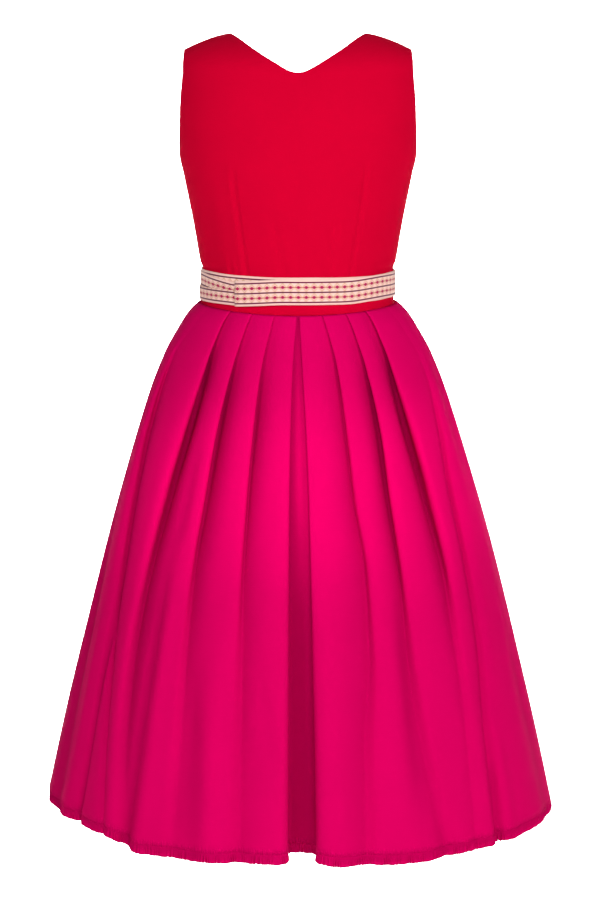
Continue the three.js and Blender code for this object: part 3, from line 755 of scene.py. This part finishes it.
def band_material(settings):
    """Woven band: a pink ground, three dark lines, two rows of diamonds in a pale lattice."""
    # Metres: first line from the edge, repeat along, from line to line, half a line.
    border, pitch, gap, line_half = 0.0036, 0.010, 0.0127, 0.00095
    # Half of a diamond along and across the band, half of its woven tips, and of the lattice.
    diamond_half, tip_half, lattice_half = (0.0036, 0.0026), (0.0041, 0.0005), 0.0050
    n = Nodes("belt_weave")
    vector, u, v = n.uv()
    down = n.math("MULTIPLY", v, -1.0)
    rows = n.math("DIVIDE", n.math("SUBTRACT", down, border), gap)

    def both(a, b):
        return n.math("MULTIPLY", a, b)

    def between(low, high):
        return both(n.math("GREATER_THAN", rows, low), n.math("LESS_THAN", rows, high))

    def distance(a, b, scale):
        return n.math("MULTIPLY", n.math("ABSOLUTE", n.math("SUBTRACT", a, b)), scale)

    def slanted(half_along, half_up):
        return n.math("ADD", n.math("DIVIDE", along, half_along), n.math("DIVIDE", up, half_up))

    away = distance(rows, n.math("ROUND", rows), gap)
    line = both(n.math("LESS_THAN", away, line_half), between(-0.3, 2.3))
    up = distance(n.math("FRACT", rows), 0.5, gap)
    along = distance(n.math("FRACT", n.math("DIVIDE", u, pitch)), 0.5, pitch)
    in_lanes = between(0.0, 2.0)
    tips = both(n.math("LESS_THAN", along, tip_half[0]), n.math("LESS_THAN", up, tip_half[1]))
    diamond = n.math("MAXIMUM", n.math("LESS_THAN", slanted(*diamond_half), 1.0), tips)
    diamond = both(diamond, in_lanes)
    slant = slanted(lattice_half, lattice_half)
    off = n.math("ABSOLUTE", n.math("SUBTRACT", slant, 1.0))
    lattice = both(n.math("LESS_THAN", off, 0.15), in_lanes)
    cloudy = n.noise(vector, 60, 3)
    ground = n.blend(cloudy, shade(settings.band_ground, 0.93), shade(settings.band_ground, 1.04))
    colour = n.blend(lattice, ground, tuple(settings.band_lattice) + (1.0,))
    colour = n.blend(diamond, colour, tuple(settings.band_diamond) + (1.0,))
    colour = n.blend(line, colour, tuple(settings.band_line) + (1.0,))
    n.put(colour, n.shader.inputs["Base Color"])
    n.put(n.math("MULTIPLY_ADD", cloudy, 0.15, 0.72), n.shader.inputs["Roughness"])
    raised = n.math("ADD", n.math("MULTIPLY", diamond, 0.8), n.math("MULTIPLY", line, 0.6))
    height = n.math("ADD", raised, n.math("MULTIPLY", n.weave(u, v, 0.0009), 0.5))
    bump = n.add("ShaderNodeBump", Strength=0.6, Distance=0.0003, Height=height)
    n.put(bump.outputs[0], n.shader.inputs["Normal"])
    n.shader.inputs["Sheen Weight"].default_value = 0.15
    n.shader.inputs["Specular IOR Level"].default_value = 0.3
    return n.material


def stage_material(name, colour):
    n = Nodes(name)
    cloudy = n.noise(n.add("ShaderNodeTexCoord").outputs["Object"], 1.5)
    n.put(n.blend(cloudy, shade(colour, 0.99), shade(colour, 1.0)), n.shader.inputs["Base Color"])
    n.shader.inputs["Roughness"].default_value = 0.95
    n.shader.inputs["Specular IOR Level"].default_value = 0.0
    return n.material


def kept(name, make):
    """A material made once and shared by the pieces of one cloth."""
    return bpy.data.materials.get(name) or make()


def skirt_cloth(settings):
    return kept("skirt_weave", lambda: cloth_material(
        "skirt_weave", settings.skirt_colour, 0.0008, 0.00012, 0.80, puckers=0.0032))


def bodice_cloth(settings):
    return kept("bodice_weave", lambda: cloth_material(
        "bodice_weave", settings.bodice_colour, 0.0007, 0.00010, 0.80))


def band_cloth(settings):
    return kept("belt_weave", lambda: band_material(settings))


# ---- settings and operators ----
class DirndlSettings(bpy.types.PropertyGroup):
    """Sizes and colours of the dirndl."""

    bodice_colour: bpy.props.FloatVectorProperty(
        name="Bodice", description="Colour of the bodice cloth", subtype="COLOR",
        size=3, min=0, max=1, default=(0.52, 0.0, 0.022))
    skirt_colour: bpy.props.FloatVectorProperty(
        name="Skirt", description="Colour of the skirt cloth", subtype="COLOR",
        size=3, min=0, max=1, default=(0.71, 0.0, 0.110))
    band_ground: bpy.props.FloatVectorProperty(
        name="Belt ground", description="Ground colour of the woven belt", subtype="COLOR",
        size=3, min=0, max=1, default=(0.86, 0.56, 0.49))
    band_lattice: bpy.props.FloatVectorProperty(
        name="Belt lattice", description="Pale lattice of the belt", subtype="COLOR",
        size=3, min=0, max=1, default=(0.60, 0.33, 0.19))
    band_diamond: bpy.props.FloatVectorProperty(
        name="Belt diamonds", description="Diamonds of the belt", subtype="COLOR",
        size=3, min=0, max=1, default=(0.42, 0.010, 0.07))
    band_line: bpy.props.FloatVectorProperty(
        name="Belt lines", description="Lines along the belt", subtype="COLOR",
        size=3, min=0, max=1, default=(0.13, 0.002, 0.04))
    cloth_wall: bpy.props.FloatProperty(
        name="Cloth wall", description="Thickness of the dress cloth",
        unit="LENGTH", min=0.0003, max=0.0015, default=0.0007)
    band_wall: bpy.props.FloatProperty(
        name="Belt wall", description="Thickness of the woven belt",
        unit="LENGTH", min=0.0005, max=0.0015, default=0.0009)
    gathers: bpy.props.IntProperty(
        name="Gathers", description="Gathers in each of the two lengths of hem ruffle",
        min=40, max=400, default=300)


class DirndlBodice(bpy.types.Operator):
    """Makes the back and front of the bodice"""

    bl_idname = "dirndl.make_bodice"
    bl_label = "Make bodice"

    def execute(self, context):
        settings = context.scene.dirndl
        cloth = bodice_cloth(settings)
        for name, side, flat in (("back", -1, (0.41, 0.36)), ("front", 1, (0.44, 0.36))):
            grids = [bodice_half(side, mirror, 96) for mirror in (1, -1)]
            grids[1] = grids[1][:, ::-1]
            node = f"bodice_{name}"
            obj = cloth_object(f"{node}_cloth", grids, settings.cloth_wall, cloth, side > 0)
            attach(obj, "root")
            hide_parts(node)
        return {"FINISHED"}


class DirndlSkirt(bpy.types.Operator):
    """Makes the pleated back and front of the skirt"""

    bl_idname = "dirndl.make_skirt"
    bl_label = "Make skirt"

    def execute(self, context):
        settings = context.scene.dirndl
        cloth = skirt_cloth(settings)
        for name, side in (("back", -1), ("front", 1)):
            rows = np.array([skirt_row(z, side, 4) for z in skirt_heights()])
            node = f"skirt_{name}"
            obj = cloth_object(f"{node}_cloth", [rows], settings.cloth_wall, cloth, side > 0,
                               from_bottom=0)
            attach(obj, "root")
            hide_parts(node)
        return {"FINISHED"}


class DirndlRuffle(bpy.types.Operator):
    """Makes the gathered ruffle along the hem"""

    bl_idname = "dirndl.make_ruffle"
    bl_label = "Make hem ruffle"

    def execute(self, context):
        settings = context.scene.dirndl
        cloth = skirt_cloth(settings)
        for name, side in (("back", -1), ("front", 1)):
            rows = ruffle_grid(side, settings.gathers)
            node = f"hem_ruffle_{name}"
            obj = cloth_object(f"{node}_cloth", [rows], settings.cloth_wall, cloth, side > 0)
            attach(obj, "root")
            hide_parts(node)
        return {"FINISHED"}


class DirndlBand(bpy.types.Operator):
    """Makes the three turns of the woven belt"""

    bl_idname = "dirndl.make_band"
    bl_label = "Make belt"

    def execute(self, context):
        settings = context.scene.dirndl
        cloth = band_cloth(settings)
        turns = (("inner", INNER_TURN, 0.4, True), ("middle", MIDDLE_TURN, 1.3, False),
                 ("outer", OUTER_TURN, 2.2, False))
        for name, table, wobble, closed in turns:
            rows = band_grid(table, wobble)
            if closed:
                rows[:, -1] = rows[:, 0]
            from_bottom = BAND_WIDTH if name == "outer" else None
            obj = cloth_object(f"band_{name}_cloth", [rows], settings.band_wall, cloth, True,
                               closed=closed, from_bottom=from_bottom)
            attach(obj, "root")
            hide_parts(f"belt_{name}")
        return {"FINISHED"}


class DirndlStage(bpy.types.Operator):
    """Makes the pale floor and backdrop, the soft lights and the camera"""

    bl_idname = "dirndl.make_stage"
    bl_label = "Make stage"

    def execute(self, context):
        floor, bend, radius = -1.48, 2.0, 2
        profile = [(-6, floor), (bend, floor)]
        for a in np.linspace(0, math.pi / 2, 24)[1:]:
            profile.append((bend + radius * math.sin(a), floor + radius * (1 - math.cos(a))))
        profile.append((bend + radius, 6.0))
        vertices = [(x, y, z) for y, z in profile for x in (-8, 8)]
        faces = [(2 * i, 2 * i + 1, 2 * i + 3, 2 * i + 2) for i in range(len(profile) - 1)]
        mesh = bpy.data.meshes.new("studio_sweep")
        mesh.from_pydata(vertices, [], faces)
        mesh.polygons.foreach_set("use_smooth", np.ones(len(faces), bool))
        mesh.materials.append(stage_material("pale_sweep", (0.93, 0.93, 0.93)))
        sweep = bpy.data.objects.new("studio_sweep", mesh)
        context.scene.collection.objects.link(sweep)

        lamps = (
            # name, place, aim, size, power, spread in degrees
            ("key", (0.3, -2.8, 0.1), (0, 0, -0.4), 1.0, 40, 180),
            ("box_right", (2.0, -2.3, 0.6), (0, 0, -0.4), 1.4, 48, 180),
            ("box_left", (-2.1, -2.1, 0.6), (0, 0, -0.4), 1.4, 32, 180),
            ("sweep", (0, 2.0, 2.6), (0, 3.0, floor), 2.2, 330, 84),
        )
        for name, place, aim, size, power, spread in lamps:
            data = bpy.data.lights.new(name, "AREA")
            data.shape = "DISK"
            data.size = size
            data.energy = power
            data.spread = math.radians(spread)
            lamp = bpy.data.objects.new(name, data)
            point_at(lamp, place, aim)
            context.scene.collection.objects.link(lamp)
        world = bpy.data.worlds.new("studio")
        world.use_nodes = True
        background = world.node_tree.nodes["Background"]
        background.inputs["Color"].default_value = (1, 1, 1, 1)
        background.inputs["Strength"].default_value = 0.14
        context.scene.world = world
        context.scene.view_settings.view_transform = "Standard"

        data = bpy.data.cameras.new("camera")
        data.sensor_fit = "VERTICAL"
        data.sensor_height = 36
        data.lens = 107.46
        camera = bpy.data.objects.new("camera", data)
        point_at(camera, (0.0026, -3.5, 0.0295), (0.0026, 0, -0.5415))
        context.scene.collection.objects.link(camera)
        context.scene.camera = camera
        return {"FINISHED"}


def point_at(obj, place, aim):
    """Puts a lamp or camera at a place, looking at another."""
    obj.location = place
    obj.rotation_euler = (Vector(aim) - Vector(place)).to_track_quat("-Z", "Y").to_euler()


class DirndlPanel(bpy.types.Panel):
    """Lists the dirndl's sizes, colours and pieces"""

    bl_idname = "DIRNDL_PT_pieces"
    bl_label = "Dirndl"
    bl_space_type = "VIEW_3D"
    bl_region_type = "UI"
    bl_category = "Dirndl"

    def draw(self, context):
        settings = context.scene.dirndl
        for key in DirndlSettings.__annotations__:
            self.layout.prop(settings, key)
        for operator in OPERATORS:
            self.layout.operator(operator.bl_idname)


OPERATORS = (DirndlStage, DirndlBodice, DirndlSkirt, DirndlRuffle, DirndlBand)


def register():
    for cls in (DirndlSettings, *OPERATORS, DirndlPanel):
        bpy.utils.register_class(cls)
    bpy.types.Scene.dirndl = bpy.props.PointerProperty(type=DirndlSettings)


def unregister():
    del bpy.types.Scene.dirndl
    for cls in reversed((DirndlSettings, *OPERATORS, DirndlPanel)):
        bpy.utils.unregister_class(cls)


def main():
    register()
    bpy.ops.dirndl.make_stage()
    bpy.ops.dirndl.make_bodice()
    bpy.ops.dirndl.make_skirt()
    bpy.ops.dirndl.make_ruffle()
    bpy.ops.dirndl.make_band()


if __name__ == "__main__":
    main()
